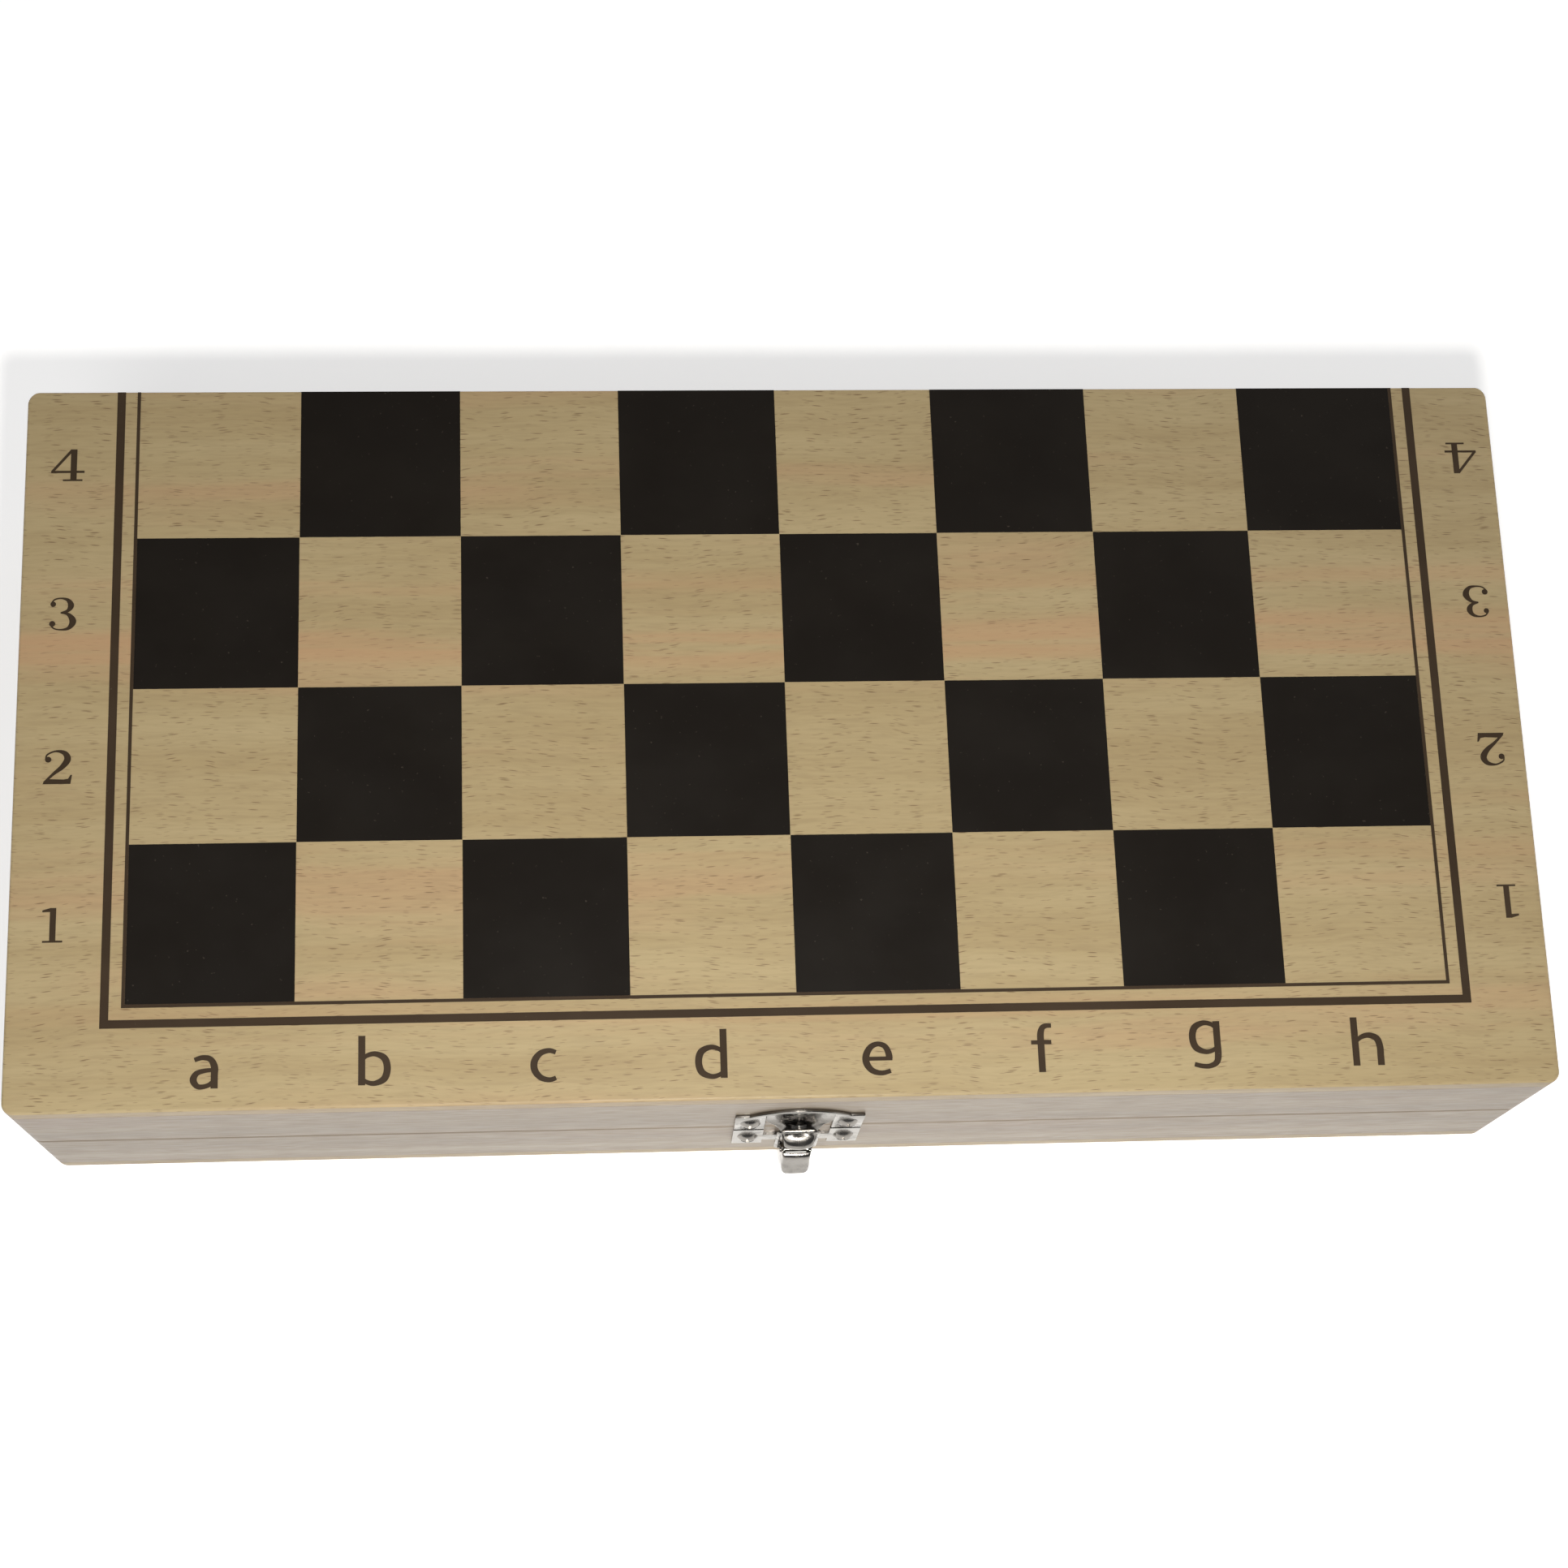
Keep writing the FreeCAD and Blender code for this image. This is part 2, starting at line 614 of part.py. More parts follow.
def loop():
    """Wire loop: a bar that rests in the bill's valley, two arms and two inturned feet."""
    size = {name: number(f"Sizes.{name}") for name in (
        "loop_pivot_out", "loop_pivot_down", "loop_bar_out", "loop_bar_up", "loop_half_width",
        "loop_foot", "wire_radius")}
    foot_bend = 1.2 * size["wire_radius"]
    bar_bend = 1.9 * size["wire_radius"]
    foot_y, foot_z = -size["loop_pivot_out"], -size["loop_pivot_down"]
    bar_y, bar_z = -size["loop_bar_out"], size["loop_bar_up"]
    side = size["loop_half_width"]
    inside = side - size["loop_foot"]
    route = [FreeCAD.Vector(*point) for point in (
        (-inside, foot_y, foot_z), (-side, foot_y, foot_z), (-side, bar_y, bar_z),
        (side, bar_y, bar_z), (side, foot_y, foot_z), (inside, foot_y, foot_z))]
    path = rounded_path(route, [foot_bend, bar_bend, bar_bend, foot_bend])
    section = Part.Wire(Part.makeCircle(size["wire_radius"], route[0], route[1] - route[0]))
    wire = doc.addObject("Part::Feature", "loop_wire")
    wire.Shape = path.makePipeShell([section], True, False)
    finish_node(wire, "latch_loop")
    to_latch(wire)


def rounded_path(route, bends):
    """Straight runs joined by a tangent arc at each inner point of the route."""
    edges = []
    start = route[0]
    for before, corner, after, bend in zip(route, route[1:], route[2:], bends):
        arriving = (corner - before).normalize()
        leaving = (after - corner).normalize()
        turn = arriving.getAngle(leaving)
        reach = bend * math.tan(turn / 2)
        entry = corner - arriving * reach
        exit_point = corner + leaving * reach
        inwards = (leaving - arriving).normalize()
        depth = bend / math.cos(turn / 2) - bend
        edges.append(Part.LineSegment(start, entry).toShape())
        edges.append(Part.Arc(entry, corner + inwards * depth, exit_point).toShape())
        start = exit_point
    edges.append(Part.LineSegment(start, route[-1]).toShape())
    return Part.Wire(edges)


def latch():
    screw = dome_screw()
    strike_plate()
    base_plate()
    lever_pin()
    lever()
    loop()
    face = f"{FRONT} - Sizes.sheet"
    for name, height in (("strike_screws", "Sizes.strike_screw_height"),
                         ("latch_base_screws", "-Sizes.base_screw_depth")):
        spots = [(latch_screw_x(turn), face, f"Sizes.half_height + {height}") for turn in (-1, 1)]
        screw_copies(name, screw, spots, (0, -1, 0))


# ---------------------------------------------------------------- document

def check_document():
    for item in doc.Objects:
        if "Invalid" in item.State or "Error" in item.State:
            raise RuntimeError(f"{item.Name} failed: {item.State}")
    for item in nodes:
        if item.Shape.isNull() or not item.Shape.isValid() or not item.Shape.Solids:
            raise RuntimeError(f"{item.Label} has no valid solid")


for half in ("lower", "upper"):
    wooden_half(half)
hinges()
latch()
doc.recompute()
check_document()
os.makedirs("parts", exist_ok=True)
for item in nodes:
    item.Shape.exportStep(f"parts/{item.Label}.step")
    limits = item.Shape.BoundBox
    print(f"{item.Label}: {len(item.Shape.Solids)} solids, {item.Shape.Volume:.1f} mm3, "
          f"x {limits.XMin:.2f}..{limits.XMax:.2f}, y {limits.YMin:.2f}..{limits.YMax:.2f}, "
          f"z {limits.ZMin:.2f}..{limits.ZMax:.2f}")
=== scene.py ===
import math

import bmesh
import bpy
from mathutils import Matrix, Vector, geometry


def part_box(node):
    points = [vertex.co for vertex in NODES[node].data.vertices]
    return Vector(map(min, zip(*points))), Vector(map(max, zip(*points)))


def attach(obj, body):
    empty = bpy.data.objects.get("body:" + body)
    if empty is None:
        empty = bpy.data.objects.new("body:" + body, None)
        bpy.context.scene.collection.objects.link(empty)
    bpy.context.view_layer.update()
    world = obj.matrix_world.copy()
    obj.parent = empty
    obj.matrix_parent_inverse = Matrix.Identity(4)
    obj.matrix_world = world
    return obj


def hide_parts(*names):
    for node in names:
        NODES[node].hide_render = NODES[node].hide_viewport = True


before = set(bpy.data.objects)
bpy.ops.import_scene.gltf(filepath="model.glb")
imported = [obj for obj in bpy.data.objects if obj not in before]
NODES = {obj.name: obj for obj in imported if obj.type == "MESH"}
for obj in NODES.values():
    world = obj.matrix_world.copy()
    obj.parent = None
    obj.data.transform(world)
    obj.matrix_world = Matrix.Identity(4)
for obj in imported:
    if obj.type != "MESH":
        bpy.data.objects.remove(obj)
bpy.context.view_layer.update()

MM = 0.001

# The box, read from the frame.
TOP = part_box("upper_panel")
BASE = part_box("lower_panel")
LEFT, RIGHT = TOP[0].x, TOP[1].x
FRONT, FOLD = TOP[0].y, TOP[1].y
TOP_Z, BASE_Z = TOP[1].z, BASE[0].z
PANEL_THICKNESS = TOP[1].z - TOP[0].z
DEPTH = FOLD - FRONT

# The printed board, laid out flat: u runs along the files, v from the fold towards rank 8,
# and w out of the print.
SQUARE = 31 * MM
GRID_LEFT = -123.2 * MM
GRID_WIDTH = 8 * SQUARE
GRID_DEPTH = 4 * SQUARE
GRID_MIDDLE = GRID_LEFT + GRID_WIDTH / 2
INK = 0.02 * MM
THIN_LINE = 0.65 * MM
HEAVY_LINE = 1.6 * MM
HEAVY_LINE_OUT = 4.5 * MM
LETTER_BASE = DEPTH - 4.05 * MM
X_HEIGHT = 6.2 * MM
LETTER_SHIFT = -0.8 * MM
NUMERAL_HEIGHT = 6.7 * MM
NUMERAL_OUT = 13.6 * MM


# ---------------------------------------------------------------- materials

class Shader:
    """One material's node tree, built a node at a time.

    A socket's value is a number, a tuple or another node's output.
    """

    def __init__(self, name):
        self.material = bpy.data.materials.new(name)
        self.material.use_nodes = True
        self.tree = self.material.node_tree
        self.surface = self.tree.nodes["Principled BSDF"]
        coordinates = self.tree.nodes.new("ShaderNodeTexCoord")
        self.place = coordinates.outputs["Object"]

    def put(self, node, sockets):
        for key, value in sockets.items():
            socket = node.inputs[key]
            if isinstance(value, bpy.types.NodeSocket):
                self.tree.links.new(value, socket)
            else:
                socket.default_value = value

    def add(self, kind, sockets, **settings):
        node = self.tree.nodes.new("ShaderNode" + kind)
        for key, value in settings.items():
            setattr(node, key, value)
        self.put(node, sockets)
        return node

    def finish(self, **sockets):
        self.put(self.surface, {key.replace("_", " "): value for key, value in sockets.items()})
        return self.material

    def math(self, operation, first, second=0.0, third=0.0):
        return self.add("Math", {0: first, 1: second, 2: third}, operation=operation).outputs[0]

    def scaled(self, scale, place=None, shift=(0, 0, 0)):
        """Coordinates in cells of 1/scale metres."""
        sockets = {"Vector": place or self.place, "Scale": scale, "Location": shift}
        return self.add("Mapping", sockets).outputs[0]

    def noise(self, scale, detail=3.0, place=None, shift=(0, 0, 0), roughness=0.55):
        cells = self.scaled(scale, place, shift)
        sockets = {"Vector": cells, "Scale": 1.0, "Detail": detail, "Roughness": roughness}
        return self.add("TexNoise", sockets).outputs["Fac"]

    def between(self, value, low, high, start=0.0, end=1.0):
        """start where value is low, end where it is high, smooth between."""
        sockets = {0: value, 1: low, 2: high, 3: start, 4: end}
        return self.add("MapRange", sockets, interpolation_type="SMOOTHSTEP").outputs[0]

    def mix(self, share, first, second):
        node = self.add("Mix", {}, data_type="RGBA")
        self.put_at(node, 0, share)
        self.put_at(node, 6, first)
        self.put_at(node, 7, second)
        return node.outputs[2]

    def put_at(self, node, index, value):
        if isinstance(value, tuple) and len(value) == 3:
            value = (*value, 1.0)
        self.put(node, {index: value})

    def wavy(self, along, reach, scale):
        """Coordinates pushed sideways by slow noise, so that grain runs in gentle waves."""
        offset = self.math("MULTIPLY", self.math("SUBTRACT", self.noise(scale, 2.0), 0.5), reach)
        across = {"Y": offset, "Z": offset} if along == "X" else {"X": offset, "Z": offset}
        shift = self.add("CombineXYZ", across).outputs[0]
        return self.add("VectorMath", {0: self.place, 1: shift}, operation="ADD").outputs[0]

    def flecks(self, along, length, height, place, shift, low, high):
        """Short dark pores: a lens-shaped dash in each long flat cell, some faint and some left out."""
        parts = self.add("SeparateXYZ", {0: place})
        run, side = (0, 1) if along == "X" else (1, 0)
        across = self.math("ADD", parts.outputs[side], parts.outputs[2])
        cell_run = self.math("MULTIPLY_ADD", parts.outputs[run], 1 / length, shift[0])
        cell_across = self.math("MULTIPLY_ADD", across, 1 / height, shift[1])
        spot = self.add("CombineXYZ", {0: cell_run, 1: cell_across}).outputs[0]
        sockets = {"Vector": spot, "Scale": 1.0, "Randomness": 1.0}
        cells = self.add("TexVoronoi", sockets, voronoi_dimensions="2D")
        dash = self.between(cells.outputs["Distance"], low, high, 1.0, 0.0)
        strength = self.add("SeparateColor", {0: cells.outputs["Color"]}).outputs[0]
        return self.math("MULTIPLY", dash, self.between(strength, 0.30, 0.75))

    def bump(self, height, distance, strength=1.0):
        sockets = {"Height": height, "Distance": distance, "Strength": strength}
        return self.add("Bump", sockets).outputs[0]


def stretched(along, run, across):
    """A noise scale with long features along the grain: run and across are cells per metre."""
    return (run, across, across) if along == "X" else (across, run, across)


# Layers of pores: cell length and height in mm, where a dash is full, where it has gone, its strength.
PORES = ((7.8, 0.72, 0.06, 0.16, 1.0), (4.6, 0.52, 0.06, 0.17, 0.6))


def beech(name, along, pale, deep, rosy, pore, bands=None, roughness=0.42, pores=0.85, shift=(0, 0, 0)):
    """Beech: tonal figure, rosy streaks, fine fibres and short dark pores.

    bands is a function that adds stripes of its own, given the shader and the colour so far.
    """
    s = Shader(name)
    place = s.wavy(along, 5.0 * MM, stretched(along, 22, 38))
    figure = s.between(s.noise(stretched(along, 10, 120), 3.0, place, shift), 0.30, 0.70)
    colour = s.mix(figure, pale, deep)
    streak = s.between(s.noise(stretched(along, 6, 85), 3.0, place, shift[::-1]), 0.52, 0.72, 0.0, 0.85)
    colour = s.mix(streak, colour, rosy)
    fibre = s.noise(stretched(along, 150, 1700), 3.0, place, shift)
    colour = s.mix(s.between(fibre, 0.35, 0.75, 0.0, 0.16), colour, pore)
    dashes = 0.0
    for length, height, near, far, weight in PORES:
        layer_shift = (shift[0] + 17 * length, shift[1], shift[2])
        layer = s.flecks(along, length * MM, height * MM, place, layer_shift, near, far)
        dashes = s.math("MAXIMUM", dashes, s.math("MULTIPLY", layer, weight))
    colour = s.mix(s.math("MULTIPLY", dashes, pores), colour, pore)
    if bands:
        colour = bands(s, colour)
    gloss = s.between(fibre, 0.25, 0.8, roughness - 0.05, roughness + 0.12)
    relief = s.math("SUBTRACT", s.math("MULTIPLY", fibre, 0.35), dashes)
    return s.finish(Base_Color=colour, Roughness=gloss, Normal=s.bump(relief, 0.02 * MM, 0.35),
                    Specular_IOR_Level=0.42)


def ink(name, colour, faded):
    """Printing ink on the film: nearly black, with faint mottling, fine dust and a soft sheen."""
    s = Shader(name)
    mottle = s.between(s.noise((55, 70, 55), 4.0), 0.35, 0.7)
    shade = s.mix(mottle, colour, faded)
    dust = s.between(s.noise((1400, 1400, 1400), 2.0), 0.70, 0.78, 0.0, 0.30)
    shade = s.mix(dust, shade, (0.14, 0.115, 0.09))
    gloss = s.between(s.noise((60, 60, 60), 3.0), 0.3, 0.7, 0.40, 0.48)
    grain = s.noise((200, 2400, 300), 3.0)
    return s.finish(Base_Color=shade, Roughness=gloss, Normal=s.bump(grain, 0.004 * MM, 0.12),
                    Specular_IOR_Level=0.22)


def metal(name, colour, dull, smooth, rough, brushed=None):
    """Plated metal: worn patches a little duller, fine scratches, and a slight orange-peel bump."""
    s = Shader(name)
    patch = s.between(s.noise((260, 260, 260), 4.0), 0.42, 0.72)
    shade = s.mix(patch, colour, dull)
    scratch = s.noise(brushed or (5000, 700, 900), 2.0)
    gloss = s.math("ADD", s.between(patch, 0.0, 1.0, smooth, rough), s.between(scratch, 0.55, 0.8, 0.0, 0.12))
    peel = s.math("ADD", s.noise((900, 900, 900), 2.0), s.math("MULTIPLY", scratch, 0.3))
    return s.finish(Base_Color=shade, Metallic=1.0, Roughness=gloss, Normal=s.bump(peel, 0.02 * MM, 0.12))


def wall_bands(s, colour):
    """The darker and paler stripes that run round the walls, by height."""
    height = s.add("SeparateXYZ", {0: s.wavy("X", 1.2 * MM, (9, 9, 9))}).outputs[2]
    seam = (TOP_Z + BASE_Z) / 2
    dark_stripe = (0.20, 0.167, 0.135)
    pale_stripe = (0.36, 0.31, 0.255)
    for low, mid, high, tint, share in (
        (seam + 1.4 * MM, seam + 4.2 * MM, seam + 8.5 * MM, dark_stripe, 0.34),
        (seam - 9.5 * MM, seam - 7.0 * MM, seam - 4.0 * MM, dark_stripe, 0.30),
        (BASE_Z + 5.5 * MM, BASE_Z + 9.0 * MM, BASE_Z + 12.0 * MM, pale_stripe, 0.35),
    ):
        rise = s.between(height, low, mid)
        fall = s.between(height, mid, high, 1.0, 0.0)
        stripe = s.math("MULTIPLY", s.math("MULTIPLY", rise, fall), share)
        colour = s.mix(stripe, colour, tint)
    return colour


HEART_TINT = (0.56, 0.345, 0.187)


def heart_streaks(s, colour):
    """The rosy streaks that run along the board, the strongest across rank three.

    back is a streak's distance from the fold and half its half width, both in millimetres.
    """
    depth = s.add("SeparateXYZ", {0: s.wavy("X", 7 * MM, (11, 26, 11))}).outputs[1]
    lines = s.between(s.noise(stretched("X", 9, 240), 3.0), 0.36, 0.62)
    for back, half, share in ((54, 9, 0.75), (41, 5, 0.40), (97, 5, 0.25), (128, 6, 0.30)):
        middle, reach = FOLD - back * MM, half * MM
        rise = s.between(depth, middle - reach, middle)
        fall = s.between(depth, middle, middle + reach, 1.0, 0.0)
        stripe = s.math("MULTIPLY", s.math("MULTIPLY", rise, fall), share)
        colour = s.mix(s.math("MULTIPLY", stripe, lines), colour, HEART_TINT)
    return colour


FILM = dict(
    pale=(0.52, 0.41, 0.225),
    deep=(0.455, 0.345, 0.18),
    rosy=(0.52, 0.355, 0.195),
    pore=(0.20, 0.125, 0.06),
)
WALL = dict(
    pale=(0.275, 0.222, 0.166),
    deep=(0.238, 0.191, 0.141),
    rosy=(0.258, 0.197, 0.149),
    pore=(0.15, 0.112, 0.080),
)
EDGE = dict(
    pale=(0.44, 0.36, 0.25),
    deep=(0.36, 0.29, 0.20),
    rosy=(0.40, 0.31, 0.21),
    pore=(0.18, 0.13, 0.09),
)

film_top = beech("beech_film_top", "X", **FILM, bands=heart_streaks)
film_under = beech("beech_film_under", "X", **FILM, shift=(3.7, 11.3, 5.1))
film_inside = beech("beech_film_inside", "X", **FILM, shift=(9.1, 4.7, 2.2), roughness=0.5)
panel_edge = beech("panel_edge", "X", **EDGE, roughness=0.6, pores=0.3)
wall_along = beech("wall_wood_along", "X", **WALL, bands=wall_bands, roughness=0.4, pores=0.28)
wall_across = beech("wall_wood_across", "Y", **WALL, bands=wall_bands, roughness=0.4, pores=0.28)
black_ink = ink("black_ink", (0.0105, 0.0078, 0.0055), (0.0130, 0.0100, 0.0072))
brown_ink = ink("brown_ink", (0.050, 0.032, 0.0185), (0.060, 0.039, 0.023))
point_ink = ink("point_ink", (0.16, 0.055, 0.028), (0.19, 0.07, 0.036))
# The nickel colour is set far darker than bright plating. This is painted shade, standing in for the dark
# surroundings that the latch's plated parts reflect.
nickel = metal("nickel_plate", (0.235, 0.222, 0.205), (0.18, 0.168, 0.152), 0.17, 0.30)
screw_metal = metal("screw_steel", (0.27, 0.255, 0.235), (0.19, 0.175, 0.16), 0.20, 0.32)
hinge_metal = metal("hinge_steel", (0.70, 0.68, 0.64), (0.55, 0.51, 0.45), 0.20, 0.36, (300, 6000, 900))


# ---------------------------------------------------------------- meshes

def new_piece(name, mesh, body, materials):
    mesh.update()
    piece = bpy.data.objects.new(name, mesh)
    bpy.context.scene.collection.objects.link(piece)
    for material in materials:
        mesh.materials.append(material)
    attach(piece, body)
    return piece


def shade_by_angle(mesh, degrees=35):
    """Smooth faces, with an edge sharper than this angle kept crisp."""
    mesh.polygons.foreach_set("use_smooth", [True] * len(mesh.polygons))
    mesh.set_sharp_from_angle(angle=math.radians(degrees))


def upper(u, v, w):
    """A point of the unfolded print, on the closed box's top."""
    return Vector((u, FOLD + v, TOP_Z + w))


def lower(u, v, w):
    """The same for the ranks on the closed box's underside."""
    return Vector((u, FOLD - v, BASE_Z - w))


def ring(x0, x1, y0, y1, corner, inset, steps=8):
    """A rounded rectangle as a list of points. inset is how far each side (x0, x1, y0, y1) is moved in."""
    left, right, near, far = x0 + inset[0], x1 - inset[1], y0 + inset[2], y1 - inset[3]
    points = []
    for cx, cy, rx, ry, start in (
        (right, far, corner - inset[1], corner - inset[3], 0),
        (left, far, corner - inset[0], corner - inset[3], 90),
        (left, near, corner - inset[0], corner - inset[2], 180),
        (right, near, corner - inset[1], corner - inset[2], 270),
    ):
        sx = -1 if cx == right else 1
        sy = -1 if cy == far else 1
        for k in range(steps + 1):
            a = math.radians(start + 90 * k / steps)
            points.append((cx + sx * rx + rx * math.cos(a), cy + sy * ry + ry * math.sin(a)))
    return points


def rounded_in(radius, below):
    """How far a quarter round of this radius has moved in, a distance below the face."""
    if below >= radius:
        return 0.0
    return radius - math.sqrt(radius**2 - (radius - below) ** 2)


def panel(name, place, body, node, film, near, far):
    """A panel with its printed face at w = -INK, softened edges, and a hairline chamfer against the walls."""
    corner, face_round, fold_round, glue_line = 2.3 * MM, 0.6 * MM, 0.15 * MM, 0.12 * MM
    rounds = [face_round, face_round, face_round, face_round]
    rounds[3 if far == 0 else 2] = fold_round
    levels = [face_round * (1 - math.cos(math.radians(a))) for a in range(0, 91, 15)]
    levels += [fold_round * share for share in (0.25, 0.6)]
    levels = sorted(levels)
    heights = [-INK - below for below in levels]
    insets = [[rounded_in(radius, below) for radius in rounds] for below in levels]
    heights += [-PANEL_THICKNESS + glue_line, -PANEL_THICKNESS]
    insets += [[0.0] * 4, [glue_line] * 4]
    bm = bmesh.new()
    rows = []
    for w, inset in zip(heights, insets):
        rows.append([bm.verts.new(place(x, y, w)) for x, y in ring(LEFT, RIGHT, near, far, corner, inset)])
    face = bm.faces.new(rows[0])
    face.material_index = 0
    edge_from = levels.index(max(levels))
    for k, (one, two) in enumerate(zip(rows, rows[1:])):
        for i in range(len(one)):
            j = (i + 1) % len(one)
            side = bm.faces.new((one[i], two[i], two[j], one[j]))
            side.material_index = 0 if k < edge_from - 2 else 1
    back = bm.faces.new(rows[-1][::-1])
    back.material_index = 2
    bmesh.ops.recalc_face_normals(bm, faces=bm.faces)
    mesh = bpy.data.meshes.new(name)
    bm.to_mesh(mesh)
    bm.free()
    shade_by_angle(mesh, 40)
    piece = new_piece(name, mesh, body, [film, panel_edge, film_inside])
    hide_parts(node)


def prism(bm, points, faces, place, low, high):
    """Adds a flat shape, given as 2-D points and faces, as a closed solid from w = low to w = high."""
    top = [bm.verts.new(place(x, y, high)) for x, y in points]
    under = [bm.verts.new(place(x, y, low)) for x, y in points]
    count = {}
    for face in faces:
        for a, b in zip(face, face[1:] + face[:1]):
            count[(a, b)] = count.get((a, b), 0) + 1
        bm.faces.new([top[i] for i in face])
        bm.faces.new([under[i] for i in reversed(face)])
    for a, b in count:
        if (b, a) not in count:
            bm.faces.new((top[b], top[a], under[a], under[b]))


def printed(name, shapes, place, body, material, low=-2 * INK, high=0.0):
    """One printed layer: every shape is (points, faces) in the unfolded board's own flat coordinates."""
    bm = bmesh.new()
    for points, faces in shapes:
        prism(bm, points, faces, place, low, high)
    bmesh.ops.recalc_face_normals(bm, faces=bm.faces)
    mesh = bpy.data.meshes.new(name)
    bm.to_mesh(mesh)
    bm.free()
    new_piece(name, mesh, body, [material])


def rectangle(x0, x1, y0, y1):
    return [(x0, y0), (x1, y0), (x1, y1), (x0, y1)], [[0, 1, 2, 3]]


def moved(shape, dx, dy, scale=1.0, turned=False):
    """A shape scaled, turned half round if asked, and moved."""
    k = -scale if turned else scale
    return [(dx + k * x, dy + k * y) for x, y in shape[0]], shape[1]


def union(polygons):
    """One flat shape with the area of all the polygons, which may overlap."""
    points, faces = [], []
    for polygon in polygons:
        faces.append(list(range(len(points), len(points) + len(polygon))))
        points += [Vector(p) for p in polygon]
    made = geometry.delaunay_2d_cdt(points, [], faces, 0, 1e-6)
    inside = [list(face) for face, source in zip(made[2], made[5]) if source]
    used = sorted({i for face in inside for i in face})
    index = {old: new for new, old in enumerate(used)}
    return [tuple(made[0][i]) for i in used], [[index[i] for i in face] for face in inside]


def ribbon(stroke, steps=6):
    """A pen stroke through (x, y, half width) points, as quadrilaterals along a Catmull-Rom curve."""
    if len(stroke) == 2:
        steps = 1
    padded = [stroke[0]] + list(stroke) + [stroke[-1]]
    if stroke[0] == stroke[-1]:
        padded = [stroke[-2]] + list(stroke) + [stroke[1]]
    line = []
    for a, b, c, d in zip(padded, padded[1:], padded[2:], padded[3:]):
        for k in range(steps):
            t = k / steps
            line.append([0.5 * (2 * q + (r - p) * t + (2 * p - 5 * q + 4 * r - s) * t**2
                                + (3 * q - p - 3 * r + s) * t**3) for p, q, r, s in zip(a, b, c, d)])
    line.append(list(stroke[-1]))
    sides = []
    for i, (x, y, half) in enumerate(line):
        before, after = line[max(i - 1, 0)], line[min(i + 1, len(line) - 1)]
        if stroke[0] == stroke[-1] and i in (0, len(line) - 1):
            before, after = line[-2], line[1]
        dx, dy = after[0] - before[0], after[1] - before[1]
        length = math.hypot(dx, dy)
        nx, ny = -dy / length * half, dx / length * half
        sides.append(((x + nx, y + ny), (x - nx, y - ny)))
    return [[one[0], one[1], two[1], two[0]] for one, two in zip(sides, sides[1:])]


def ball(x, y, radius, count=16):
    return [[(x + radius * math.cos(2 * math.pi * k / count), y + radius * math.sin(2 * math.pi * k / count))
             for k in range(count)]]


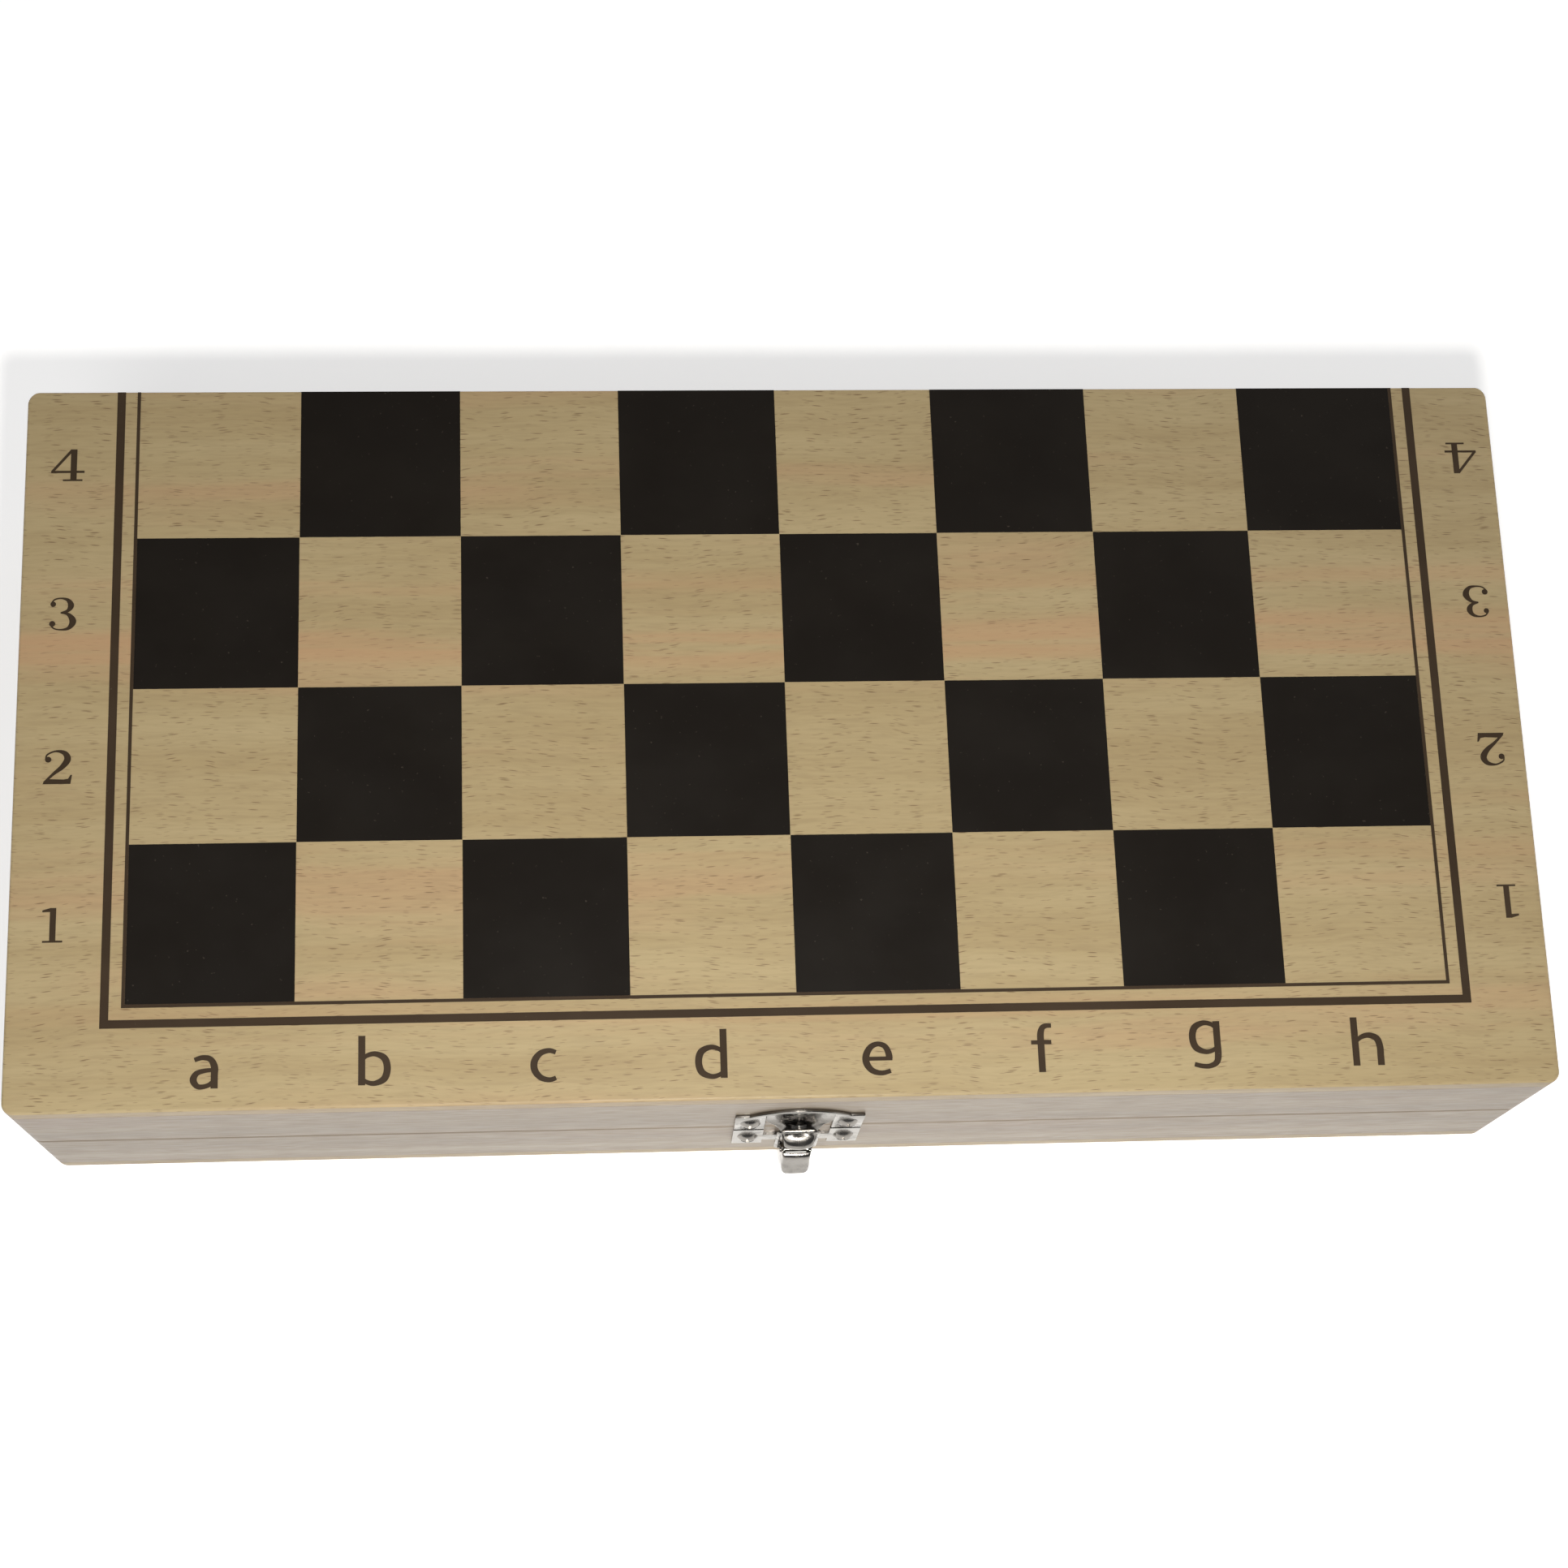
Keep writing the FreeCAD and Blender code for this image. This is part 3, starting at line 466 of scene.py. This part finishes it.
def numeral(digit):
    """A serif numeral one unit high, as pen strokes and slab serifs, centred on the origin."""
    slab = lambda x0, x1, y0=0.0, y1=0.055: [[(x0, y0), (x1, y0), (x1, y1), (x0, y1)]]
    lower_bowl = [(0.36, 0.535, 0.022), (0.57, 0.49, 0.05), (0.71, 0.28, 0.098), (0.60, 0.07, 0.055),
                  (0.38, 0.02, 0.026), (0.19, 0.055, 0.022), (0.09, 0.16, 0.025)]
    parts = {
        1: slab(0.05, 0.60) + ribbon([(0.325, 0.0, 0.085), (0.325, 1.0, 0.085)])
        + [[(0.03, 0.935), (0.03, 0.88), (0.25, 0.885), (0.25, 1.0)]],
        2: ball(0.155, 0.73, 0.088) + ribbon([(0.08, 0.74, 0.015), (0.13, 0.88, 0.025), (0.36, 0.978, 0.028),
            (0.60, 0.92, 0.07), (0.69, 0.74, 0.095), (0.56, 0.52, 0.075), (0.32, 0.31, 0.045),
            (0.06, 0.05, 0.03)])
        + [[(0.02, 0.0), (0.79, 0.0), (0.83, 0.27), (0.785, 0.27), (0.72, 0.155), (0.60, 0.135), (0.20, 0.15),
            (0.05, 0.07)]],
        3: ball(0.145, 0.80, 0.08) + ball(0.135, 0.20, 0.088)
        + ribbon([(0.085, 0.82, 0.02), (0.19, 0.945, 0.024), (0.38, 0.98, 0.026), (0.56, 0.92, 0.055),
                  (0.645, 0.76, 0.088), (0.56, 0.60, 0.05), (0.36, 0.535, 0.022)]) + ribbon(lower_bowl),
        4: slab(0.34, 0.90) + ribbon([(0.64, 0.0, 0.09), (0.64, 1.0, 0.09)])
        + [[(0.0, 0.255), (0.95, 0.255), (0.95, 0.325), (0.0, 0.325)]]
        + [[(0.0, 0.255), (0.085, 0.30), (0.60, 0.93), (0.60, 1.0), (0.55, 1.0), (0.0, 0.32)]],
        5: ball(0.135, 0.20, 0.088) + ribbon([(0.15, 0.50, 0.028), (0.17, 0.97, 0.028)])
        + [[(0.15, 0.99), (0.17, 0.86), (0.40, 0.835), (0.62, 0.86), (0.68, 1.0), (0.42, 0.97)]]
        + ribbon([(0.13, 0.52, 0.02), (0.26, 0.605, 0.024), (0.44, 0.625, 0.03), (0.63, 0.53, 0.075),
                  (0.70, 0.33, 0.095), (0.60, 0.09, 0.06), (0.38, 0.02, 0.026), (0.19, 0.055, 0.022),
                  (0.09, 0.16, 0.025)]),
        6: ball(0.63, 0.84, 0.075) + ribbon([(0.685, 0.87, 0.02), (0.58, 0.965, 0.024), (0.42, 0.98, 0.026),
            (0.22, 0.82, 0.075), (0.14, 0.48, 0.10), (0.21, 0.16, 0.08), (0.41, 0.02, 0.026),
            (0.62, 0.12, 0.075), (0.69, 0.31, 0.092), (0.60, 0.51, 0.06), (0.42, 0.60, 0.026),
            (0.20, 0.47, 0.022)]),
        7: [[(0.04, 1.0), (0.04, 0.74), (0.08, 0.74), (0.14, 0.85), (0.74, 0.85), (0.80, 1.0)]]
        + ribbon([(0.77, 0.93, 0.03), (0.60, 0.66, 0.045), (0.40, 0.36, 0.075), (0.33, 0.0, 0.105)]),
        8: ribbon([(0.40, 0.98, 0.026), (0.20, 0.88, 0.07), (0.19, 0.70, 0.085), (0.40, 0.54, 0.075),
                   (0.66, 0.40, 0.085), (0.68, 0.16, 0.07), (0.40, 0.02, 0.026), (0.13, 0.14, 0.055),
                   (0.13, 0.38, 0.05), (0.40, 0.54, 0.035), (0.61, 0.68, 0.04), (0.60, 0.88, 0.045),
                   (0.40, 0.98, 0.026)]),
    }[digit]
    shape = union(parts)
    xs = [x for x, _ in shape[0]]
    middle = (min(xs) + max(xs)) / 2
    return [(x - middle, y - 0.5) for x, y in shape[0]], shape[1]


def letter(character):
    """A plain humanist letter with an x-height of one, drawn as pen strokes.

    It stands on v = 0, or hangs below by its tail, and is centred on u = 0.
    """
    stem, thin, tall, width = 0.105, 0.075, 1.515, 0.965
    bowl = [(0.10, 0.76, 0.05), (0.27, 0.91, 0.07), (0.52, 0.95, 0.082), (0.78, 0.81, stem),
            (0.86, 0.50, stem), (0.77, 0.19, stem), (0.50, 0.055, 0.08), (0.27, 0.09, 0.07),
            (0.10, 0.22, 0.05)]

    def upright(x, low, high):
        return ribbon([(x, low, stem), (x, high, stem)])

    def mirrored(stroke):
        return [(width - x, y, half) for x, y, half in stroke]

    parts = {
        "a": ribbon([(0.13, 0.875, 0.07), (0.36, 0.945, 0.078), (0.60, 0.89, 0.09), (0.72, 0.66, stem),
                     (0.72, 0.40, stem), (0.72, 0.0, stem)])
        + ribbon([(0.72, 0.565, 0.06), (0.44, 0.545, 0.07), (0.20, 0.465, 0.085), (0.105, 0.27, stem),
                  (0.21, 0.085, 0.085), (0.38, 0.055, thin), (0.58, 0.12, 0.07), (0.72, 0.27, 0.06)]),
        "b": upright(stem, 0.0, tall) + ribbon(bowl),
        "c": ribbon([(0.76, 0.89, 0.07), (0.56, 0.95, 0.078), (0.30, 0.87, 0.092), (0.125, 0.64, stem),
                     (0.125, 0.36, stem), (0.30, 0.13, 0.092), (0.56, 0.05, 0.078), (0.76, 0.11, 0.07)]),
        "d": upright(width - stem, 0.0, tall) + ribbon(mirrored(bowl)),
        "e": ribbon([(0.12, 0.495, 0.062), (0.90, 0.495, 0.062)])
        + ribbon([(0.805, 0.50, stem), (0.79, 0.66, 0.098), (0.69, 0.87, 0.088), (0.48, 0.95, 0.078),
                  (0.26, 0.86, 0.092), (0.115, 0.62, stem), (0.115, 0.36, stem), (0.28, 0.13, 0.092),
                  (0.56, 0.05, 0.078), (0.84, 0.115, 0.07)]),
        "f": ribbon([(0.30, 0.0, stem), (0.30, 0.8, stem), (0.30, 1.17, stem), (0.36, 1.37, 0.09),
                     (0.47, 1.44, 0.078), (0.64, 1.445, 0.07)])
        + ribbon([(0.0, 0.93, 0.066), (0.62, 0.93, 0.066)]),
        "g": ribbon(mirrored(bowl)) + ribbon([(0.86, 1.0, stem), (0.86, 0.4, stem), (0.86, -0.06, stem),
                     (0.79, -0.29, 0.092), (0.58, -0.395, 0.078), (0.35, -0.39, 0.075), (0.12, -0.33, 0.07)]),
        "h": upright(stem, 0.0, tall) + ribbon([(0.10, 0.72, 0.05), (0.30, 0.89, 0.075), (0.54, 0.945, 0.088),
                     (0.78, 0.84, stem), (0.86, 0.58, stem), (0.86, 0.30, stem), (0.86, 0.0, stem)]),
    }[character]
    shape = union(parts)
    xs = [x for x, _ in shape[0]]
    middle, foot = (min(xs) + max(xs)) / 2, min(y for _, y in shape[0])
    return [(x - middle, y - foot) for x, y in shape[0]], shape[1]


# ---------------------------------------------------------------- the printed board

def grid_squares(ranks):
    """The dark squares of these ranks, with rank 0 next to White; a hair apart where corners meet."""
    gap = 0.01 * MM
    shapes = []
    for rank in ranks:
        for file in range(8):
            if (file + rank) % 2 == 0:
                u = GRID_LEFT + file * SQUARE
                v = (rank - 4) * SQUARE
                shapes.append(rectangle(u + gap, u + SQUARE - gap, v + gap, v + SQUARE - gap))
    return shapes


def frame_line(out, width, sign):
    """A line round three sides of a half's grid, open at the fold.

    out is how far its outer edge is from the grid.
    """
    left, right = GRID_LEFT - out, GRID_LEFT + GRID_WIDTH + out
    far = GRID_DEPTH + out
    outline = [(left, 0), (left, far), (right, far), (right, 0), (right - width, 0),
               (right - width, far - width), (left + width, far - width), (left + width, 0)]
    quads = [[0, 1, 6, 7], [1, 2, 5, 6], [2, 3, 4, 5]]
    if sign > 0:
        quads = [quad[::-1] for quad in quads]
    return [(u, sign * v) for u, v in outline], quads


def print_half(prefix, place, body, ranks, sign):
    """All the print of one half. sign is -1 for the half with rank 1 and 1 for the half with rank 8."""
    printed(prefix + "_squares", grid_squares(ranks), place, body, black_ink)
    lines = [frame_line(THIN_LINE, THIN_LINE, sign), frame_line(HEAVY_LINE_OUT, HEAVY_LINE, sign)]
    printed(prefix + "_border_lines", lines, place, body, brown_ink)
    glyphs = []
    for file in range(8):
        u = GRID_LEFT + (file + 0.5) * SQUARE + LETTER_SHIFT * -sign
        glyphs.append(moved(letter("abcdefgh"[file]), u, sign * LETTER_BASE, X_HEIGHT, sign > 0))
    printed(prefix + "_file_letters", glyphs, place, body, brown_ink)
    glyphs = []
    for rank in ranks:
        v = (rank - 3.5) * SQUARE
        shape = numeral(rank + 1)
        for side, turned in ((-1, False), (1, True)):
            u = GRID_MIDDLE + side * (GRID_WIDTH / 2 + NUMERAL_OUT)
            glyphs.append(moved(shape, u, v, NUMERAL_HEIGHT, turned))
    printed(prefix + "_rank_numerals", glyphs, place, body, brown_ink)


def points_inside(prefix, body, floor_z, up):
    """Six long points from each short end, alternating in colour, printed on a tray's floor."""
    wall = 8 * MM
    clear = 0.6 * MM
    reach = 108 * MM
    near, far = FRONT + wall + clear, FOLD - wall - clear
    width = (far - near) / 6

    def place(u, v, w):
        return Vector((u, v, floor_z + up * w))

    for parity, material, word in ((0, black_ink, "dark"), (1, point_ink, "red")):
        shapes = []
        for k in range(6):
            for side in (-1, 1):
                if (k + (side > 0)) % 2 != parity:
                    continue
                end = side * (RIGHT - wall - clear)
                low, high = near + k * width + clear, near + (k + 1) * width - clear
                corners = [(end, low), (end - side * reach, (low + high) / 2), (end, high)]
                shapes.append((corners, [[0, 1, 2] if side < 0 else [0, 2, 1]]))
        printed(f"{prefix}_{word}_points", shapes, place, body, material, -INK, INK)


panel("upper_printed_panel", upper, "upper_half", "upper_panel", film_top, -DEPTH, 0.0)
panel("lower_printed_panel", lower, "lower_half", "lower_panel", film_under, 0.0, DEPTH)
print_half("upper", upper, "upper_half", range(0, 4), -1)
print_half("lower", lower, "lower_half", range(4, 8), 1)
points_inside("lower_tray", "lower_half", BASE_Z + PANEL_THICKNESS, 1)
points_inside("upper_tray", "upper_half", TOP_Z - PANEL_THICKNESS, -1)


# ---------------------------------------------------------------- CAD nodes that stay

def paint(node, material):
    data = NODES[node].data
    data.materials.clear()
    data.materials.append(material)


for half in ("lower", "upper"):
    for side in ("front", "back"):
        paint(f"{half}_{side}_wall", wall_along)
    for side in ("left", "right"):
        paint(f"{half}_{side}_wall", wall_across)
        paint(f"{side}_hinge_{half}_leaf", hinge_metal)
    paint(f"{half}_hinge_screws", screw_metal)
for side in ("left", "right"):
    paint(f"{side}_hinge_pin", hinge_metal)
for node in ("strike_screws", "latch_base_screws"):
    paint(node, screw_metal)
for node in ("strike_plate", "latch_base_plate", "lever_pin", "latch_lever", "latch_loop"):
    paint(node, nickel)


# ---------------------------------------------------------------- latch

LATCH_X = sum(corner.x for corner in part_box("strike_plate")) / 2
SEAM_Z = (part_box("upper_front_wall")[0].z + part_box("lower_front_wall")[1].z) / 2

# The strike plate's sizes, in millimetres: its face, its tabs, and the arch between them.
PLATE_FACE = 0.7
TAB_IN, TAB_OUT, TAB_LOW, TAB_HIGH = 6.5, 12.4, 0.4, 10.4
ARCH_HALF, ARCH_RISE, ARCH_BAND = 9.7, 4.4, 1.3
FORMED_SHEET = 0.5
FORMED_CREASE = 42  # degrees: a sharper edge than this stays crisp


def on_front(u, out, up):
    """A point near the latch: mm across from its middle, out from the front wall and up from the seam."""
    return Vector((LATCH_X + u * MM, FRONT - out * MM, SEAM_Z + up * MM))


def sheet_object(name, rows, thickness, edge):
    """Pressed sheet metal: a grid of points on its outer face, thickened inwards, with softened edges."""
    bm = bmesh.new()
    made = [[bm.verts.new(on_front(*point)) for point in row] for row in rows]
    for one, two in zip(made, made[1:]):
        for i in range(len(one) - 1):
            bm.faces.new((one[i], two[i], two[i + 1], one[i + 1]))
    mesh = bpy.data.meshes.new(name)
    bm.to_mesh(mesh)
    bm.free()
    return thickened(name, mesh, thickness, edge)


def thickened(name, mesh, thickness, edge):
    piece = bpy.data.objects.new(name, mesh)
    bpy.context.scene.collection.objects.link(piece)
    solid = piece.modifiers.new("thickness", "SOLIDIFY")
    solid.thickness, solid.offset = thickness * MM, -1.0
    soft = piece.modifiers.new("soft_edges", "BEVEL")
    soft.width, soft.segments, soft.limit_method = edge * MM, 3, "ANGLE"
    soft.angle_limit = math.radians(50)
    return piece


def applied(piece):
    """The piece's mesh with its modifiers applied; the piece itself is removed."""
    bpy.context.view_layer.update()
    graph = bpy.context.evaluated_depsgraph_get()
    mesh = bpy.data.meshes.new_from_object(piece.evaluated_get(graph))
    bpy.data.objects.remove(piece)
    return mesh


def arch(u):
    """The strike plate's arched top edge."""
    radius = (ARCH_HALF**2 + ARCH_RISE**2) / (2 * ARCH_RISE)
    return TAB_HIGH + ARCH_RISE - radius + math.sqrt(radius**2 - u**2)


def flat_outline():
    """The flat part of the strike plate: two screw tabs under an arched band."""
    chord = [-ARCH_HALF + 2 * ARCH_HALF * k / 32 for k in range(33)]
    under = [-TAB_IN + 2 * TAB_IN * k / 24 for k in range(25)]
    outline = [(-TAB_OUT, TAB_LOW), (-TAB_IN, TAB_LOW)]
    outline += [(u, arch(u) - ARCH_BAND) for u in under]
    outline += [(TAB_IN, TAB_LOW), (TAB_OUT, TAB_LOW), (TAB_OUT, TAB_HIGH)]
    outline += [(u, arch(u)) for u in reversed(chord)]
    outline += [(-TAB_OUT, TAB_HIGH)]
    return outline


def formed_rows():
    """The pressed part of the strike plate, row by row: a dish, a short shelf, and the rounded bill."""
    smile, smile_rise, bill_half, lap = 3.9, 3.0, 3.0, 0.45
    shelf_out, shelf_drop, tip_out, tip_drop, bill_crown = 2.75, 0.05, 5.25, 2.05, 1.05
    across = [-1 + 2 * i / 32 for i in range(33)]
    rows = []
    for k in range(13):
        fall = k / 12
        row = []
        for c in across:
            foot = smile + smile_rise * c * c
            top = arch(TAB_IN * c) - ARCH_BAND + lap
            up = top + (foot - top) * fall
            flare = 0.75 * fall**1.5 * (0.35 + 0.65 * c * c)
            hollow = 0.35 * math.sin(math.pi * fall) * (1 - c * c)
            narrowing = max(0.0, (fall - 0.45) / 0.55) ** 2 * (1 - 0.45 * c * c)
            width = TAB_IN + (bill_half - TAB_IN) * narrowing
            row.append((c * width, PLATE_FACE + (flare - hollow), up))
        rows.append(row)
    last = rows[-1]
    for k in range(1, 5):
        blend = k / 4
        ease = blend**0.8
        row = []
        for c, (u, out, up) in zip(across, last):
            shelf_up = smile - shelf_drop + 0.12 * c * c
            row.append((u + (c * bill_half - u) * ease, out + (shelf_out - out) * blend,
                        up + (shelf_up - up) * ease))
        rows.append(row)
    for k in range(1, 15):
        t = k / 14
        turn = math.radians(106 * t)
        width = bill_half * math.sqrt(1 - (0.66 * t) ** 3.2)
        row = []
        for c in across:
            crown = (1 - math.sqrt(1 - 0.92 * c * c)) * min(1.0, 0.25 + 1.6 * t)
            out = shelf_out + (tip_out - shelf_out) * math.sin(turn) - bill_crown * crown
            up = smile - shelf_drop - tip_drop * (1 - math.cos(turn)) - 0.6 * crown * (1 - t)
            row.append((c * width, out, up))
        rows.append(row)
    return rows


def strike_plate():
    """The flat tabs and band, joined to the pressed dish and bill."""
    bm = bmesh.new()
    bm.faces.new([bm.verts.new(on_front(u, PLATE_FACE, up)) for u, up in flat_outline()])
    bm.normal_update()
    for face in bm.faces:
        if face.normal.y > 0:
            face.normal_flip()
    mesh = bpy.data.meshes.new("strike_flat")
    bm.to_mesh(mesh)
    bm.free()
    plate = thickened("strike_flat", mesh, PLATE_FACE - 0.02, 0.16)
    formed = sheet_object("strike_formed", formed_rows(), FORMED_SHEET, 0.08)
    join = plate.modifiers.new("join", "BOOLEAN")
    join.operation, join.solver, join.object = "UNION", "EXACT", formed
    mesh = applied(plate)
    bpy.data.objects.remove(formed)
    shade_by_angle(mesh, FORMED_CREASE)
    piece = new_piece("strike_plate_formed", mesh, "upper_half", [nickel])
    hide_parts("strike_plate")


def lever():
    """The lever, pressed as a channel: a shoulder, a sloping thumb face, flared cheeks and a round end.

    Each station is its front edge (out, up), its back edge (out, up), and its half width front and back.
    """
    edge_round, corner_spread, face_crown = 0.55, 0.1, 0.06
    stations = [
        (4.35, -4.95, 3.90, -5.15, 2.80, 2.85), (4.80, -5.02, 3.20, -5.45, 2.74, 3.00),
        (5.12, -5.16, 2.60, -5.80, 2.70, 3.10), (5.34, -5.38, 2.15, -6.10, 2.66, 3.15),
        (5.46, -5.75, 1.90, -6.50, 2.65, 3.15), (5.62, -6.60, 1.50, -7.30, 2.65, 3.15),
        (5.92, -8.20, 1.15, -8.70, 2.66, 3.15), (6.28, -10.10, 1.15, -10.40, 2.68, 3.12),
        (6.42, -10.80, 3.30, -10.90, 2.68, 3.00), (6.60, -11.70, 4.40, -11.80, 2.65, 2.88),
        (6.78, -12.60, 5.20, -12.60, 2.54, 2.70), (6.88, -13.10, 5.70, -13.10, 2.32, 2.42),
        (6.86, -13.42, 6.05, -13.40, 1.90, 2.00), (6.74, -13.62, 6.25, -13.60, 1.35, 1.42),
    ]
    rows = []
    for front, front_up, back, back_up, half, half_back in stations:
        r = min(edge_round, (front - back) * 0.6)
        corner = half + corner_spread
        side = []
        for share in (0.0, 0.35, 0.7, 1.0):
            out = back + (front - r - back) * share
            up = back_up + (front_up - back_up) * share
            side.append((half_back + (corner - half_back) * share, out, up))
        for angle in (30, 60, 90):
            a = math.radians(angle)
            side.append((corner - r + r * math.cos(a), front - r + r * math.sin(a), front_up))
        for share in (0.5, 0.25, 0.0):
            side.append((half * share, front + face_crown * (1 - share**2), front_up))
        rows.append([(-u, out, up) for u, out, up in side[:-1]] + side[::-1])
    mesh = applied(sheet_object("lever_formed", rows, FORMED_SHEET, 0.1))
    shade_by_angle(mesh, FORMED_CREASE)
    piece = new_piece("latch_lever_formed", mesh, "latch_lever", [nickel])
    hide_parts("latch_lever")


strike_plate()
lever()


# ---------------------------------------------------------------- floor, light and camera

def floor():
    mesh = bpy.data.meshes.new("studio_floor")
    reach, below = 12.0, 0.0004
    mesh.from_pydata([(-reach, -reach, -below), (reach, -reach, -below), (reach, reach, -below),
                      (-reach, reach, -below)], [], [(0, 1, 2, 3)])
    piece = bpy.data.objects.new("studio_floor", mesh)
    bpy.context.scene.collection.objects.link(piece)
    s = Shader("studio_floor")
    tone = s.between(s.noise((2, 2, 2), 2.0), 0.3, 0.7)
    pale = s.mix(tone, (0.86, 0.86, 0.85), (0.89, 0.89, 0.88))
    mesh.materials.append(s.finish(Base_Color=pale, Roughness=0.9, Emission_Color=(1.0, 1.0, 1.0, 1.0),
                                   Emission_Strength=0.60))


def area_light(name, position, target, size, power, colour=(1.0, 1.0, 1.0)):
    data = bpy.data.lights.new(name, "AREA")
    data.shape, data.size, data.energy, data.color = "DISK", size, power, colour
    light = bpy.data.objects.new(name, data)
    bpy.context.scene.collection.objects.link(light)
    light.location = position
    light.rotation_mode = "QUATERNION"
    light.rotation_quaternion = (Vector(target) - Vector(position)).to_track_quat("-Z", "Y")


def studio():
    world = bpy.data.worlds.new("studio")
    bpy.context.scene.world = world
    world.use_nodes = True
    nodes, links = world.node_tree.nodes, world.node_tree.links
    room = nodes["Background"]
    room.inputs["Color"].default_value = (0.95, 0.96, 1.0, 1.0)
    room.inputs["Strength"].default_value = 0.14
    backdrop = nodes.new("ShaderNodeBackground")
    backdrop.inputs["Color"].default_value = (0.90, 0.90, 0.90, 1.0)
    choose = nodes.new("ShaderNodeMixShader")
    links.new(nodes.new("ShaderNodeLightPath").outputs["Is Camera Ray"], choose.inputs["Fac"])
    links.new(room.outputs["Background"], choose.inputs[1])
    links.new(backdrop.outputs["Background"], choose.inputs[2])
    links.new(choose.outputs["Shader"], nodes["World Output"].inputs["Surface"])
    centre = (0.0, 0.0, TOP_Z)
    area_light("camera_flash", (0.0, -0.21, 0.42), centre, 0.035, 1.35, (1.0, 0.98, 0.94))
    area_light("overhead_softbox", (-0.25, -0.48, 0.60), centre, 0.45, 1.15, (1.0, 0.98, 0.95))
    area_light("back_softbox", (0.5, 0.8, 0.7), centre, 0.6, 0.50, (1.0, 0.98, 0.96))
    area_light("side_softbox", (0.9, -0.15, 0.30), centre, 0.5, 0.9, (1.0, 0.98, 0.96))


def camera():
    """The photograph's viewpoint: high in front of the board, a little to the left, and rolled."""
    data = bpy.data.cameras.new("camera")
    data.lens = 57.9
    data.shift_y = 0.18
    data.clip_start, data.clip_end = 0.01, 20.0
    eye = bpy.data.objects.new("camera", data)
    bpy.context.scene.collection.objects.link(eye)
    position = Vector((-0.0316, -0.1753, 0.5018))
    aim = Vector((-0.0020, -0.0660, TOP_Z))
    roll = Matrix.Rotation(math.radians(13.55), 4, "Z")
    turn = (aim - position).to_track_quat("-Z", "Y").to_matrix().to_4x4()
    eye.matrix_world = Matrix.Translation(position) @ turn @ roll
    bpy.context.scene.camera = eye


floor()
studio()
camera()
bpy.context.scene.view_settings.view_transform = "Standard"
